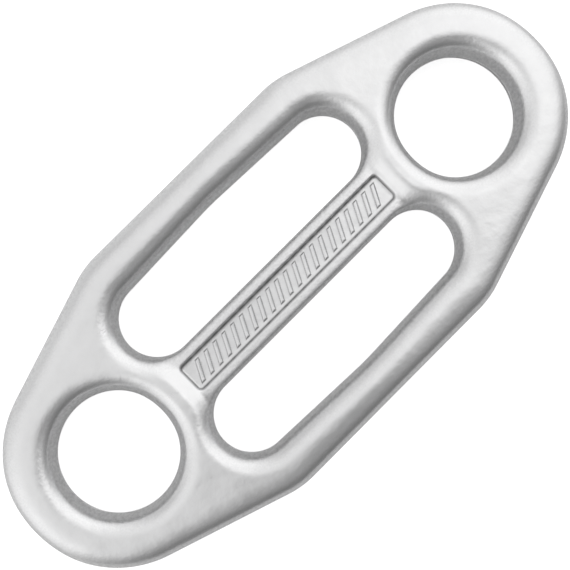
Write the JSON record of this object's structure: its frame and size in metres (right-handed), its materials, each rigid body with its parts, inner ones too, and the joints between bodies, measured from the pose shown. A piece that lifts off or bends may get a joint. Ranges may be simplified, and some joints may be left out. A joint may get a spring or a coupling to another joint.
{
  "type": "belay plate",
  "caption": "Forged climbing belay plate: a long flat frame with round carabiner eyes in its rounded ends and long rope slots either side of a central bar.",
  "frame": {"origin": "middle of the plate: the centre of the central bar, on the parting plane half way through the thickness", "axes": "+X along the plate through both eyes, +Y across it through both rope slots, +Z out of the face that is shown"},
  "size_m": [0.121, 0.0532, 0.0098],
  "materials": {
    "forged_aluminium": "satin"
  },
  "bodies": {
    "root": {"plate": "forged_aluminium"}
  },
  "joints": []
}
